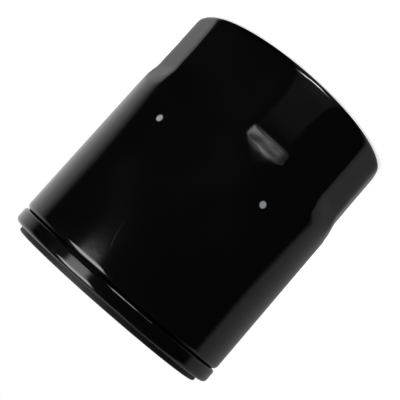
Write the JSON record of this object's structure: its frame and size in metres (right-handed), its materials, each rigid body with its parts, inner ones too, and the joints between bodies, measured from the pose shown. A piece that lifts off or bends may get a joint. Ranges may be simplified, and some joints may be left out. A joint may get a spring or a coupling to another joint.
{
  "type": "oil filter",
  "caption": "Spin-on engine oil filter: gloss black can with a flat-sided grip end and rolled seam, rubber gasket, threaded base plate, pleated element and sprung bypass valve.",
  "frame": {"origin": "centre of the closed end, on the plane that the filter stands on", "axes": "+Z along the filter's axis, out of the threaded base; -Y is the side that the picture looks at"},
  "size_m": [0.068, 0.068, 0.0775],
  "materials": {
    "black_paint": "gloss",
    "zinc_plate": "satin zinc plating, painted black on the rolled rim",
    "gasket_rubber": "smooth, lightly oiled",
    "plate_steel": "satin zinc plating",
    "valve_rubber": "matt",
    "tin_plate": "satin tin plating",
    "adhesive": "matt",
    "filter_paper": "resin-treated paper",
    "spring_steel": "bare, oiled"
  },
  "bodies": {
    "housing": {"can": "black_paint", "lid": "zinc_plate", "gasket": "gasket_rubber", "base_plate": "plate_steel", "element_spring": "spring_steel"},
    "element": {"drain_valve": "valve_rubber", "base_end_cap": "tin_plate", "base_adhesive": "adhesive", "filter_paper": "filter_paper", "paper_clip": "tin_plate", "centre_tube": "tin_plate", "dome_adhesive": "adhesive", "dome_end_cap": "tin_plate", "bypass_cage": "tin_plate", "bypass_spring": "spring_steel"},
    "bypass_valve": {"bypass_poppet": "plate_steel", "bypass_seal": "valve_rubber"}
  },
  "joints": [
    {"name": "element_float", "type": "slide", "parent": "housing", "child": "element", "axis": [0, 0, -1], "range_m": [0, 0.0015], "stiffness_N_per_m": 12000, "springref_m": -0.004, "deforming": ["element_spring"]},
    {"name": "bypass_lift", "type": "slide", "parent": "element", "child": "bypass_valve", "axis": [0, 0, 1], "range_m": [0, 0.003], "stiffness_N_per_m": 1200, "springref_m": -0.0053, "deforming": ["bypass_spring"]}
  ]
}
